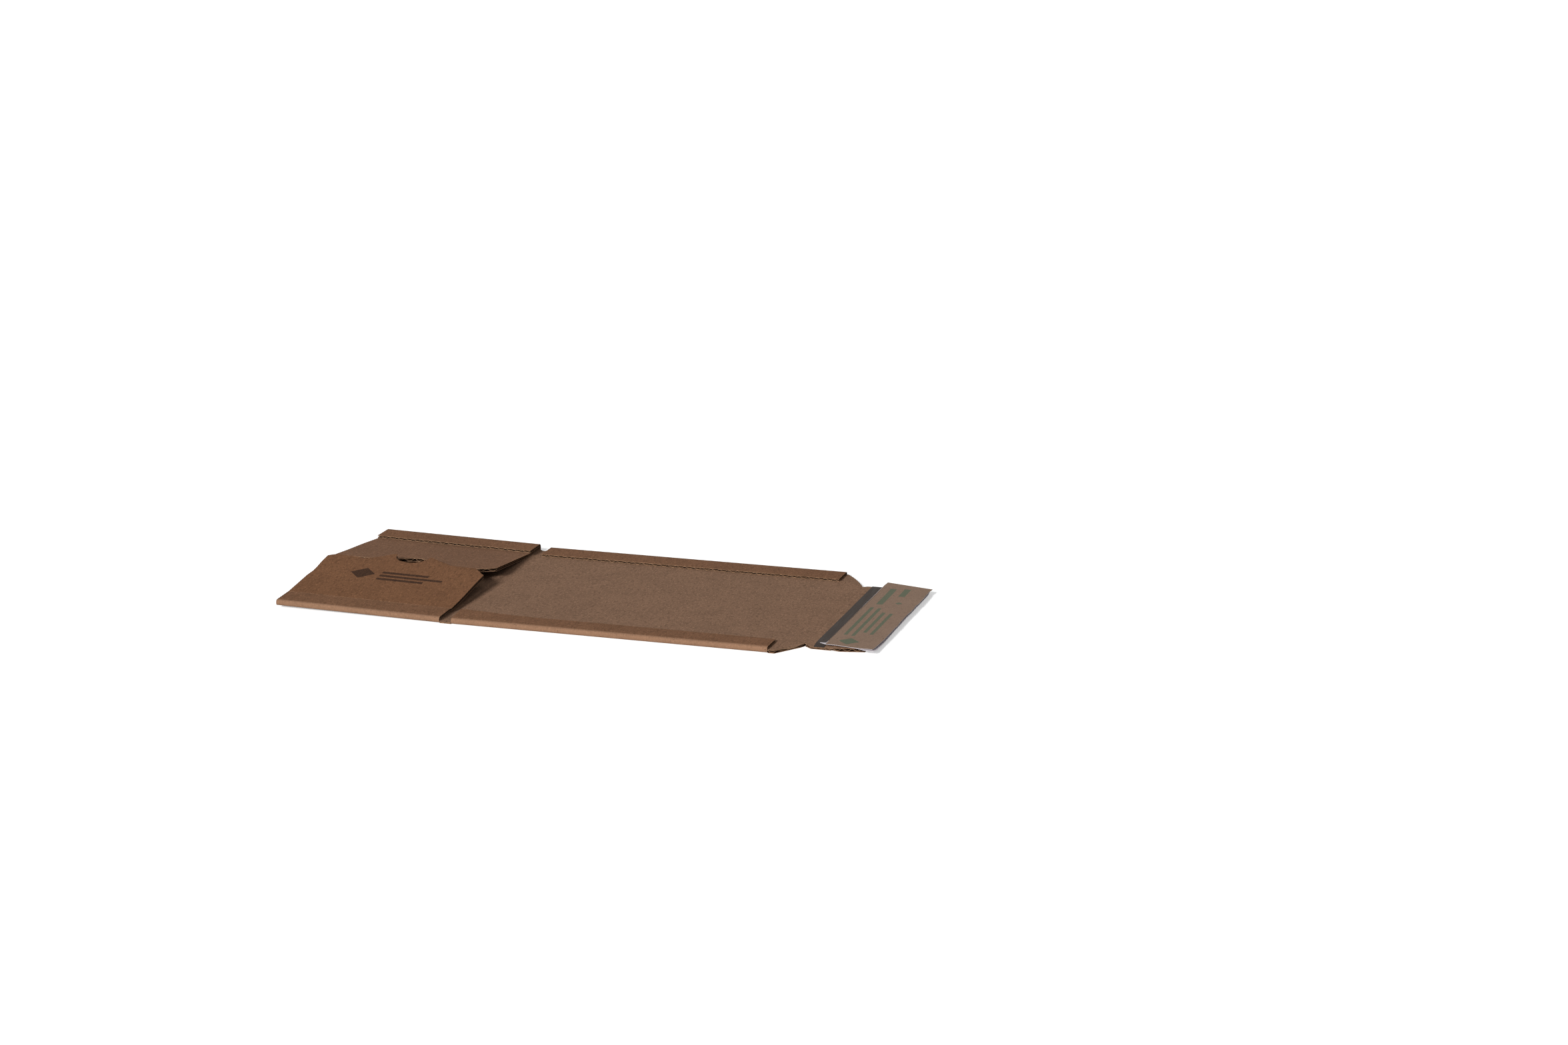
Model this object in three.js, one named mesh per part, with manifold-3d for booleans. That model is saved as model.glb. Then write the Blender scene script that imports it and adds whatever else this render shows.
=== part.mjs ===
// Wraparound mailer of corrugated board, lying open and flat on a table.
// Millimetres. +X runs along the board from the pocket to the closing flap,
// +Y runs from the near edge to the far edge, +Z is up.
// The origin is the middle of the footprint, at the level of the table.

import * as THREE from "three";
import * as BufferGeometryUtils from "three/addons/utils/BufferGeometryUtils.js";
import Module from "manifold-3d";

const wasm = await Module();
wasm.setup();

// Driving sizes of the blank
const BOARD_WIDTH = 187;
const POCKET_LENGTH = 118;
const CREASE_ZONE = 8.5;
const WRAP_RAIL_LENGTH = 218.9;
const SHOULDER_LENGTH = 19.1;
const CLOSING_LENGTH = 40.5;

// Board thicknesses: the main board, the free flaps and the strips that are pressed flat
const BASE_BOARD = 2.2;
const FLAP_BOARD = 2.5;
const RAIL_BOARD = 1.8;
const GLUED_STRIP_BOARD = 1.4;
const CREASED_BOARD = 1.8;

// Clearances
const LAYER_GAP = 0.3;
const FOLD_SLIT = 0.2;
const CREASE_GAP = 0.3;
const TAPE_GAP = 0.1;

// Folded edges
const WRAP_NEAR_RAIL = 18.5;
const WRAP_FAR_RAIL = 20.5;
const POCKET_STRIP = 19.5;
const POCKET_STRIP_LIFT = 0.6;
const POCKET_FAR_RAIL = 21;
const FOLD_WALL = 2;
const FOLD_STEPS = 12;

// Height of the pocket's free end over the table, held up by the spring of the crease
const POCKET_LIFT = 2;

// Near flap: lengths are measured along the flap from its crease
const NEAR_FLAP_ANGLE = 6.7;
const NEAR_SHOULDER = 70;
const NEAR_CREST = 80.3;
const NEAR_SIDE_LEFT = 64.5;
const NEAR_SIDE_RIGHT = 59.5;
const NEAR_CORNER_LEFT = 4.5;
const NEAR_CORNER_RIGHT = 10;
const SHOULDER_WIDTH = 28.5;
const THUMB_RADIUS = 12.2;
const CREST_FLAT = 1.2;
const CREASE_TAPER = 6;

// Far flap: glued under the far rail, it rises towards the middle and ends under the near flap's crests
const CREST_OVERLAP = 4.3;
const FAR_CORNER_LEFT = 1;
const FAR_THUMB_DEPTH = 2.5;
const FAR_CORNER_RIGHT = 9;
const FAR_SIDE_INSET = 1;
const FAR_CREASE_TAPER = 12;

// Outline of the wrap panel's end and of the closing flap
const NEAR_SHOULDER_START = 4;
const NEAR_SHOULDER_INSET = 17.5;
const NEAR_SHOULDER_BACK = 2;
const NEAR_NOTCH_INSET = 24;
const NOTCH_HALF_WIDTH = 2.5;
const FAR_SHOULDER_INSET = 27.5;
const FAR_SHOULDER_BULGE = 2;
const CLOSING_NEAR_INSET = 18.6;
const CLOSING_FAR_INSET = 26;
const PULL_EDGE_START = 18.5;
const PULL_EDGE_STEP = 3.4;
const PULL_EDGE_TAPER = 1.6;

// Tear strip, adhesive and release liner, measured from the closing flap's root
const TEAR_OFFSET = 7;
const TEAR_WIDTH = 6.8;
const TEAR_THICKNESS = 0.2;
const ADHESIVE_OFFSET = 19;
const ADHESIVE_WIDTH = 16;
const ADHESIVE_INSET = 5;
const ADHESIVE_THICKNESS = 0.3;
const LINER_OFFSET = 14.5;
const LINER_WIDTH = 34.5;
const LINER_NEAR_OVERHANG = 3.6;
const LINER_FAR_OVERHANG = 7;
const LINER_PAPER = 0.25;
const LINER_SLIT = 0.5;

// Places worked out from the sizes above
const HINGE_X = POCKET_LENGTH + CREASE_ZONE / 2;
const RAIL_START_X = POCKET_LENGTH + CREASE_ZONE;
const RAIL_END_X = RAIL_START_X + WRAP_RAIL_LENGTH;
const FLAP_ROOT_X = RAIL_END_X + SHOULDER_LENGTH;
const FLAP_END_X = FLAP_ROOT_X + CLOSING_LENGTH;
const OVERALL_LENGTH = FLAP_ROOT_X + LINER_OFFSET + LINER_WIDTH;
const WRAP_STACK = BASE_BOARD + FOLD_SLIT + RAIL_BOARD;
const FAR_POCKET_INSIDE = GLUED_STRIP_BOARD + 2 * LAYER_GAP;
const FAR_STACK = BASE_BOARD + FAR_POCKET_INSIDE + RAIL_BOARD;
const NEAR_CREASE_HEIGHT = WRAP_STACK + POCKET_STRIP_LIFT;
const NEAR_SLOPE = THREE.MathUtils.degToRad(NEAR_FLAP_ANGLE);
const FAR_FRONT_Y = POCKET_STRIP + NEAR_CREST * Math.cos(NEAR_SLOPE) - CREST_OVERLAP;
const FAR_FRONT_HEIGHT = NEAR_CREASE_HEIGHT + (FAR_FRONT_Y - POCKET_STRIP) * Math.tan(NEAR_SLOPE)
  - FLAP_BOARD / Math.cos(NEAR_SLOPE) - LAYER_GAP;

// How far cutting shapes reach past what they cut
const ABOVE_ALL = 60;
const CUT_MARGIN = 1;

// Closed solids and their joining and cutting
function toSolid(geometry) {
  const bare = geometry.clone();
  bare.deleteAttribute("normal");
  bare.deleteAttribute("uv");
  const merged = BufferGeometryUtils.mergeVertices(bare, 1e-4);
  return new wasm.Manifold(new wasm.Mesh({
    numProp: 3,
    vertProperties: new Float32Array(merged.attributes.position.array),
    triVerts: new Uint32Array(merged.index.array),
  }));
}

function toGeometry(solid) {
  const mesh = solid.getMesh();
  const geometry = new THREE.BufferGeometry();
  geometry.setAttribute("position", new THREE.BufferAttribute(new Float32Array(mesh.vertProperties), 3));
  geometry.setIndex(new THREE.BufferAttribute(new Uint32Array(mesh.triVerts), 1));
  geometry.computeVertexNormals();
  return geometry;
}

// A plan outline of [x, y] points, raised from one level to another
function plate(outline, bottom, top) {
  const shape = new THREE.Shape(outline.map(([x, y]) => new THREE.Vector2(x, y)));
  const geometry = new THREE.ExtrudeGeometry(shape, { depth: top - bottom, bevelEnabled: false });
  return geometry.translate(0, 0, bottom);
}

// A section of [y, z] points, drawn out along X from one place to another
function strip(section, start, end) {
  const shape = new THREE.Shape(section.map(([y, z]) => new THREE.Vector2(y, z)));
  const geometry = new THREE.ExtrudeGeometry(shape, { depth: end - start, bevelEnabled: false });
  const turn = new THREE.Matrix4().makeBasis(
    new THREE.Vector3(0, 1, 0), new THREE.Vector3(0, 0, 1), new THREE.Vector3(1, 0, 0));
  return geometry.applyMatrix4(turn).translate(start, 0, 0);
}

function block(x0, x1, y0, y1, z0, z1) {
  return plate([[x0, y0], [x1, y0], [x1, y1], [x0, y1]], z0, z1);
}

// Everything over the base board between two places along X
function aboveBase(x0, x1) {
  return toSolid(block(x0, x1, -CUT_MARGIN, BOARD_WIDTH + CUT_MARGIN, BASE_BOARD, ABOVE_ALL));
}

// Points of a round fold between two levels, bulging towards -Y or +Y
function foldArc(edgeY, bottom, top, side) {
  const radius = (top - bottom) / 2;
  const points = [];
  for (let step = 0; step <= FOLD_STEPS; step += 1) {
    const angle = -Math.PI / 2 + Math.PI * step / FOLD_STEPS;
    points.push([
      edgeY - side * radius * (1 - Math.cos(angle)),
      bottom + radius * (1 + Math.sin(angle)),
    ]);
  }
  return points;
}

function material(color, roughness) {
  return new THREE.MeshStandardMaterial({ color, roughness, metalness: 0 });
}

function namedMesh(name, geometry, surface) {
  const mesh = new THREE.Mesh(geometry, surface);
  mesh.name = name;
  return mesh;
}

// Pocket base: the board under the pocket, its near strip folded over to the flap's crease
// and its far rail folded over the far flap's glued strip
function pocketBase() {
  const nearArc = foldArc(0, 0, WRAP_STACK, -1);
  const farArc = foldArc(BOARD_WIDTH, 0, FAR_STACK, 1);
  const stripEnd = POCKET_STRIP - CREASE_GAP / 2;
  const railEnd = BOARD_WIDTH - POCKET_FAR_RAIL + CREASE_GAP;
  const section = [
    ...farArc,
    [railEnd, FAR_STACK],
    [railEnd, FAR_STACK - RAIL_BOARD],
    [BOARD_WIDTH - FOLD_WALL, FAR_STACK - RAIL_BOARD],
    [BOARD_WIDTH - FOLD_WALL, BASE_BOARD],
    [FOLD_WALL, BASE_BOARD],
    [FOLD_WALL, BASE_BOARD + FOLD_SLIT],
    [stripEnd, NEAR_CREASE_HEIGHT - CREASED_BOARD],
    [stripEnd, NEAR_CREASE_HEIGHT],
    ...nearArc.reverse(),
  ];
  const endX = HINGE_X - CREASE_GAP / 2;
  const whole = toSolid(strip(section, 0, endX));
  const creaseZone = aboveBase(POCKET_LENGTH, endX + CUT_MARGIN);
  const geometry = toGeometry(whole.subtract(creaseZone));
  return namedMesh("pocket_base", geometry, material(0x8b6a52, 0.85));
}

// Near flap: two crests either side of a thumb notch, with cut corners
function nearFlap() {
  const middle = POCKET_LENGTH / 2;
  const outline = [
    [0, CREASE_GAP / 2],
    [POCKET_LENGTH, CREASE_GAP / 2],
    [POCKET_LENGTH, NEAR_SIDE_RIGHT],
    [POCKET_LENGTH - NEAR_CORNER_RIGHT, NEAR_SHOULDER],
    [POCKET_LENGTH - SHOULDER_WIDTH, NEAR_SHOULDER],
    [middle + THUMB_RADIUS + CREST_FLAT, NEAR_CREST],
  ];
  for (let step = 0; step <= FOLD_STEPS; step += 1) {
    const angle = Math.PI * step / FOLD_STEPS;
    outline.push([middle + THUMB_RADIUS * Math.cos(angle), NEAR_CREST - THUMB_RADIUS * Math.sin(angle)]);
  }
  outline.push(
    [middle - THUMB_RADIUS - CREST_FLAT, NEAR_CREST],
    [SHOULDER_WIDTH, NEAR_SHOULDER],
    [NEAR_CORNER_LEFT, NEAR_SHOULDER],
    [0, NEAR_SIDE_LEFT],
  );
  const section = [
    [CREASE_GAP / 2, -CREASED_BOARD],
    [CREASE_TAPER, -FLAP_BOARD],
    [NEAR_CREST + CUT_MARGIN, -FLAP_BOARD],
    [NEAR_CREST + CUT_MARGIN, 0],
    [CREASE_GAP / 2, 0],
  ];
  const board = toSolid(strip(section, 0, POCKET_LENGTH));
  const cutter = toSolid(plate(outline, -2 * FLAP_BOARD, FLAP_BOARD));
  const mesh = namedMesh("near_flap", toGeometry(board.intersect(cutter)), material(0x8a6248, 0.85));
  mesh.position.set(0, POCKET_STRIP, NEAR_CREASE_HEIGHT);
  mesh.rotation.x = NEAR_SLOPE;
  return mesh;
}

// Far flap: its pressed strip lies between the base and the far rail
function farFlap() {
  const creaseY = BOARD_WIDTH - POCKET_FAR_RAIL;
  const stripBottom = BASE_BOARD + LAYER_GAP;
  const stripTop = stripBottom + GLUED_STRIP_BOARD;
  const run = creaseY - FAR_FRONT_Y;
  const rise = FAR_FRONT_HEIGHT - stripTop;
  const slope = Math.atan2(rise, run);
  const thick = [FLAP_BOARD * Math.sin(slope), FLAP_BOARD * Math.cos(slope)];
  const taper = [FAR_CREASE_TAPER * Math.cos(slope), FAR_CREASE_TAPER * Math.sin(slope)];
  const section = [
    [BOARD_WIDTH - FOLD_WALL - LAYER_GAP, stripBottom],
    [BOARD_WIDTH - FOLD_WALL - LAYER_GAP, stripTop],
    [creaseY, stripTop],
    [FAR_FRONT_Y, FAR_FRONT_HEIGHT],
    [FAR_FRONT_Y - thick[0], FAR_FRONT_HEIGHT - thick[1]],
    [creaseY - taper[0] - thick[0], stripTop + taper[1] - thick[1]],
    [creaseY, stripBottom],
  ];
  const left = FAR_SIDE_INSET;
  const frontY = FAR_FRONT_Y - 2 * thick[0];
  const middle = POCKET_LENGTH / 2;
  const outline = [
    [left + FAR_CORNER_LEFT, frontY],
    [middle - THUMB_RADIUS, frontY],
  ];
  for (let step = 0; step <= FOLD_STEPS; step += 1) {
    const angle = Math.PI * (1 - step / FOLD_STEPS);
    outline.push([
      middle + THUMB_RADIUS * Math.cos(angle),
      FAR_FRONT_Y + FAR_THUMB_DEPTH + THUMB_RADIUS * Math.sin(angle),
    ]);
  }
  outline.push(
    [middle + THUMB_RADIUS, frontY],
    [POCKET_LENGTH - FAR_CORNER_RIGHT, frontY],
    [POCKET_LENGTH, frontY + FAR_CORNER_RIGHT],
    [POCKET_LENGTH, BOARD_WIDTH],
    [left, BOARD_WIDTH],
    [left, frontY + FAR_CORNER_LEFT],
  );
  const board = toSolid(strip(section, 0, POCKET_LENGTH));
  const cutter = toSolid(plate(outline, 0, ABOVE_ALL));
  return namedMesh("far_flap", toGeometry(board.intersect(cutter)), material(0x8c6a52, 0.85));
}

// Wrap panel: the long board with both edges folded over, ending in two shoulders
function wrapPanel() {
  const nearArc = foldArc(0, 0, WRAP_STACK, -1);
  const farArc = foldArc(BOARD_WIDTH, 0, WRAP_STACK, 1);
  const section = [
    ...farArc,
    [BOARD_WIDTH - WRAP_FAR_RAIL, WRAP_STACK],
    [BOARD_WIDTH - WRAP_FAR_RAIL, BASE_BOARD + FOLD_SLIT],
    [BOARD_WIDTH - FOLD_WALL, BASE_BOARD + FOLD_SLIT],
    [BOARD_WIDTH - FOLD_WALL, BASE_BOARD],
    [FOLD_WALL, BASE_BOARD],
    [FOLD_WALL, BASE_BOARD + FOLD_SLIT],
    [WRAP_NEAR_RAIL, BASE_BOARD + FOLD_SLIT],
    [WRAP_NEAR_RAIL, WRAP_STACK],
    ...nearArc.reverse(),
  ];
  const startX = HINGE_X + CREASE_GAP / 2;
  const endX = FLAP_ROOT_X - CREASE_GAP / 2;
  const whole = toSolid(strip(section, startX, endX));
  const creaseZone = aboveBase(startX - CUT_MARGIN, RAIL_START_X);
  const bareEnd = aboveBase(RAIL_END_X, endX + CUT_MARGIN);
  const outline = toSolid(plate(wrapOutline(endX), -CUT_MARGIN, ABOVE_ALL));
  const panel = whole.subtract(creaseZone).subtract(bareEnd).intersect(outline);
  return namedMesh("wrap_panel", toGeometry(panel), material(0x785f4d, 0.88));
}

// Plan outline of the wrap panel, with a straight near shoulder and a bowed far one
function wrapOutline(endX) {
  const farShoulder = new THREE.QuadraticBezierCurve(
    new THREE.Vector2(RAIL_END_X, BOARD_WIDTH + CUT_MARGIN),
    new THREE.Vector2(
      (RAIL_END_X + endX) / 2 + FAR_SHOULDER_BULGE,
      BOARD_WIDTH - FAR_SHOULDER_INSET / 2 + FAR_SHOULDER_BULGE),
    new THREE.Vector2(endX, BOARD_WIDTH - FAR_SHOULDER_INSET),
  );
  return [
    [HINGE_X - CUT_MARGIN, -CUT_MARGIN],
    [RAIL_END_X + NEAR_SHOULDER_START, -CUT_MARGIN],
    [endX - NEAR_SHOULDER_BACK, NEAR_SHOULDER_INSET],
    [endX, NEAR_NOTCH_INSET],
    ...farShoulder.getPoints(FOLD_STEPS).reverse().map((point) => [point.x, point.y]),
    [HINGE_X - CUT_MARGIN, BOARD_WIDTH + CUT_MARGIN],
  ];
}

// Closing flap: narrower than the wrap panel, with a stepped edge to pull on past the tear strip
function closingFlap() {
  const startX = FLAP_ROOT_X + CREASE_GAP / 2;
  const nearY = CLOSING_NEAR_INSET;
  const farY = BOARD_WIDTH - CLOSING_FAR_INSET;
  const stepX = FLAP_ROOT_X + PULL_EDGE_START;
  const outline = [
    [startX, NEAR_NOTCH_INSET],
    [startX + NOTCH_HALF_WIDTH, nearY],
    [stepX, nearY],
    [stepX, nearY - PULL_EDGE_STEP],
    [FLAP_END_X, nearY + PULL_EDGE_TAPER],
    [FLAP_END_X, farY - PULL_EDGE_TAPER],
    [stepX, farY + PULL_EDGE_STEP],
    [stepX, farY],
    [startX + NOTCH_HALF_WIDTH, farY],
    [startX, BOARD_WIDTH - FAR_SHOULDER_INSET],
  ];
  return namedMesh("closing_flap", plate(outline, 0, FLAP_BOARD), material(0x785f4d, 0.88));
}

// Tear strip: a tape laid across the closing flap
function tearStrip() {
  const x0 = FLAP_ROOT_X + TEAR_OFFSET;
  const bottom = FLAP_BOARD + TAPE_GAP;
  const geometry = block(
    x0, x0 + TEAR_WIDTH, CLOSING_NEAR_INSET, BOARD_WIDTH - CLOSING_FAR_INSET,
    bottom, bottom + TEAR_THICKNESS);
  return namedMesh("tear_strip", geometry, material(0x47433f, 0.45));
}

// Adhesive strip under the release liner
function adhesiveStrip() {
  const x0 = FLAP_ROOT_X + ADHESIVE_OFFSET;
  const bottom = FLAP_BOARD + TAPE_GAP;
  const geometry = block(
    x0, x0 + ADHESIVE_WIDTH,
    CLOSING_NEAR_INSET + ADHESIVE_INSET, BOARD_WIDTH - CLOSING_FAR_INSET - ADHESIVE_INSET,
    bottom, bottom + ADHESIVE_THICKNESS);
  return namedMesh("adhesive_strip", geometry, material(0xb9a98c, 0.3));
}

// Release liner: one paper folded double along the edge that faces the tear strip
function releaseLiner() {
  const x0 = FLAP_ROOT_X + LINER_OFFSET;
  const x1 = x0 + LINER_WIDTH;
  const bottom = FLAP_BOARD + 2 * TAPE_GAP + ADHESIVE_THICKNESS;
  const lowerTop = bottom + LINER_PAPER;
  const upperBottom = lowerTop + LINER_SLIT;
  const top = upperBottom + LINER_PAPER;
  const y0 = CLOSING_NEAR_INSET - LINER_NEAR_OVERHANG;
  const y1 = BOARD_WIDTH - CLOSING_FAR_INSET + LINER_FAR_OVERHANG;
  const folded = toSolid(block(x0, x1, y0, y1, bottom, top));
  const between = toSolid(block(
    x0 + LINER_PAPER, x1 + CUT_MARGIN, y0 - CUT_MARGIN, y1 + CUT_MARGIN, lowerTop, upperBottom));
  return namedMesh("release_liner", toGeometry(folded.subtract(between)), material(0x7d6b5c, 0.7));
}

// The pocket turns about the foot of its crease, so that its free end stands off the table
const pocket = new THREE.Group();
const tilted = new THREE.Group();
tilted.add(pocketBase(), nearFlap(), farFlap());
tilted.position.x = -HINGE_X;
pocket.add(tilted);
pocket.position.x = HINGE_X;
pocket.rotation.y = Math.asin(POCKET_LIFT / HINGE_X);

const mailer = new THREE.Group();
mailer.add(pocket, wrapPanel(), closingFlap(), tearStrip(), adhesiveStrip(), releaseLiner());
mailer.position.set(-OVERALL_LENGTH / 2, -BOARD_WIDTH / 2, 0);

const model = new THREE.Group();
model.add(mailer);

export default model;
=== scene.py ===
import math

import bpy
import numpy as np
from mathutils import Matrix, Vector


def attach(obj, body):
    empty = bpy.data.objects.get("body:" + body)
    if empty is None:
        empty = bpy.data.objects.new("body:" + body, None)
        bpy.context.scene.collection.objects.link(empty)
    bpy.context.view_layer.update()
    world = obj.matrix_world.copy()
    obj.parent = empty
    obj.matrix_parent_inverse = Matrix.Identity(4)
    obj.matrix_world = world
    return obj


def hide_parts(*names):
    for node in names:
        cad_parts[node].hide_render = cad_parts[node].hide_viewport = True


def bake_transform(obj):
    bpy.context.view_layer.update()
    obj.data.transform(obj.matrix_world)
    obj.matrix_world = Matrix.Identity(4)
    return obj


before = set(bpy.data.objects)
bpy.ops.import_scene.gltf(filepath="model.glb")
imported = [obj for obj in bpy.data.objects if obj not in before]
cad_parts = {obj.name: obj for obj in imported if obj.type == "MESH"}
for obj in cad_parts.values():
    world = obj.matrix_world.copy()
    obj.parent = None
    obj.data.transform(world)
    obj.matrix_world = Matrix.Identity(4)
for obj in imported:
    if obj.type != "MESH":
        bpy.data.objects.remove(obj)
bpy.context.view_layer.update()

# Lengths are in millimetres. X runs from the pocket to the closing flap, Y from the near
# edge to the far edge, Z up, and the blank's near left corner is the zero of X and Y.
MM = 0.001
OVERALL_LENGTH = 413.5
BOARD_WIDTH = 187.0

# The blank along X
POCKET_LENGTH = 118.0
HINGE_X = 122.25
RAIL_START_X = 126.5
RAIL_END_X = 345.4
SHOULDER_START_X = 350.1
FLAP_ROOT_X = 364.5
FLAP_END_X = 405.0
CREASE_GAP = 0.3

# Board: two liners with a wave of paper between them, whose ridges run along Y
BASE_BOARD = 2.2
FLAP_BOARD = 2.5
RAIL_BOARD = 1.8
CREASED_BOARD = 1.8
CREASE_CRUSH = 1.0
FLUTE_PITCH = 6.4
FLUTE_SAMPLES = 8
LINER_PAPER = 0.2
FLUTE_PAPER = 0.18
WASHBOARD = 0.05
RIB_UNEVENNESS = 0.04
PRESS_REACH = 1.6

# Folds
WRAP_STACK = 4.2
FAR_STACK = 6.0
FOLD_SLIT = 0.2
FOLD_STEPS = 8
NEAR_FOLD_POWER = 0.8
FAR_FOLD_POWER = 0.75
STRIP_ROWS = 5
BASE_ROWS = (5.0, 12.0, 25.0, 45.0, 70.0, 95.0, 120.0, 145.0, 165.0, 178.0)
WRAP_NEAR_RAIL = 18.5
WRAP_FAR_RAIL = 20.5
POCKET_STRIP = 19.5
POCKET_FAR_RAIL = 21.0
NEAR_CREASE_HEIGHT = 4.8
POCKET_RAIL_INSET = 0.7
POCKET_RAIL_INSET_REACH = 30.0
WRAP_RAIL_LIFT = 1.3
WRAP_RAIL_LIFT_END_X = 176.0

# Beyond the folded edges the base goes on alone, a little narrower and pressed at its edges
BARE_COLUMN = 0.25
BARE_INSET = 0.4
BARE_SINK = 0.4

# The pocket's free end stands off the table
POCKET_TILT = math.asin(2.0 / HINGE_X)

# Near flap
NEAR_SLOPE = math.radians(6.7)
NEAR_SHOULDER = 70.0
NEAR_SHOULDER_LEFT = 68.2
NEAR_CREST = 80.3
NEAR_SIDE_LEFT = 64.5
NEAR_SIDE_RIGHT = 59.5
NEAR_CORNER_LEFT = 4.5
NEAR_CORNER_RIGHT = 10.0
NEAR_JOG = 0.8
NEAR_CORNER_LIFT = 0.8
NEAR_ROOT_BULGE = 0.8
SHOULDER_WIDTH = 28.5
THUMB_X = 57.9
THUMB_RADIUS = 12.2
CREST_FLAT = 1.2
CREASE_TAPER = 6.0

# Far flap
CREST_OVERLAP = 4.3
FLAP_CLEARANCE = 0.3
FAR_CREASE_Y = BOARD_WIDTH - POCKET_FAR_RAIL
FAR_STRIP_BOTTOM = 2.5
FAR_STRIP_TOP = 3.9
FAR_FRONT_Y = POCKET_STRIP + NEAR_CREST * math.cos(NEAR_SLOPE) - CREST_OVERLAP
FAR_FRONT_HEIGHT = (NEAR_CREASE_HEIGHT + (FAR_FRONT_Y - POCKET_STRIP) * math.tan(NEAR_SLOPE)
                    - FLAP_BOARD / math.cos(NEAR_SLOPE) - FLAP_CLEARANCE)
FAR_CORNER_LEFT = 0.8
FAR_CORNER_RIGHT = 9.5
FAR_THUMB_DEPTH = 2.5
FAR_SIDE_LEFT = 1.0
FAR_SIDE_RIGHT = 117.4
FAR_CREASE_TAPER = 12.0
FAR_BOW_REACH = 25.0

# Wrap panel's end and closing flap
NEAR_SHOULDER_INSET = 17.5
NEAR_NOTCH_INSET = 21.5
NOTCH_WIDTH = 2.0
FAR_SHOULDER_INSET = 27.5
SHOULDER_BOW = 2.0
CLOSING_NEAR_Y = 18.6
CLOSING_FAR_Y = 161.0
NEAR_ROOT_WIDTH = 5.0
FAR_ROOT_WIDTH = 2.5
PULL_EDGE_X = 383.0
PULL_EDGE_HALF = 0.1
PULL_EDGE_STEP = 3.4
PULL_EDGE_TAPER = 1.6
PULL_CORNER_LIFT = 1.1
TAPE_END_Y = 17.2
END_PRESS = 0.9
END_PRESS_REACH = 7.0

# Tear strip, adhesive and release paper
TAPE_BOTTOM = 2.6
TAPE_TOP = 2.8
TAPE_MIDDLE_X = 374.6
TAPE_WIDTH = 7.0
TAPE_SKEW = 0.4
ADHESIVE_LEFT_X = 383.8
ADHESIVE_RIGHT_X = 399.2
ADHESIVE_EDGE = 0.12
ADHESIVE_BULGE = 0.16
LINER_LEFT_X = 379.0
LINER_FAR_Y = 168.0
LINER_TAPER = 6.1
LINER_TOP_HEIGHT = 3.92
LINER_BOTTOM_HEIGHT = 3.3
LINER_TOP_PAPER = 0.14
LINER_BOTTOM_PAPER = 0.12


# Small smooth unevenness along a line, the same at each run
def uneven(x, step, seed, height):
    draws = np.random.default_rng(seed).uniform(-1, 1, 600)
    place = np.asarray(x, float) / step + 40
    index = np.floor(place).astype(int)
    share = place - index
    share = share * share * (3 - 2 * share)
    return height * (draws[index] * (1 - share) + draws[index + 1] * share)


def smooth_step(value, low, high):
    share = np.clip((np.asarray(value, float) - low) / (high - low), 0, 1)
    return share * share * (3 - 2 * share)


# A curve between two places that is drawn towards a third one
def curve(first, towards, last, share):
    return first * (1 - share) ** 2 + 2 * share * (1 - share) * towards + last * share ** 2


# From the blank's millimetres to the scene's metres
def to_row(points):
    moved = np.array(points, float)
    moved[..., 0] -= OVERALL_LENGTH / 2
    moved[..., 1] -= BOARD_WIDTH / 2
    return moved * MM


# The pocket turns about the foot of its crease
def tilt_pocket(points):
    x = points[..., 0] - HINGE_X
    z = points[..., 2]
    turned = points.copy()
    turned[..., 0] = HINGE_X + x * math.cos(POCKET_TILT) + z * math.sin(POCKET_TILT)
    turned[..., 2] = -x * math.sin(POCKET_TILT) + z * math.cos(POCKET_TILT)
    return turned


# The other boards lie level
def keep_level(points):
    return points


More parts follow.
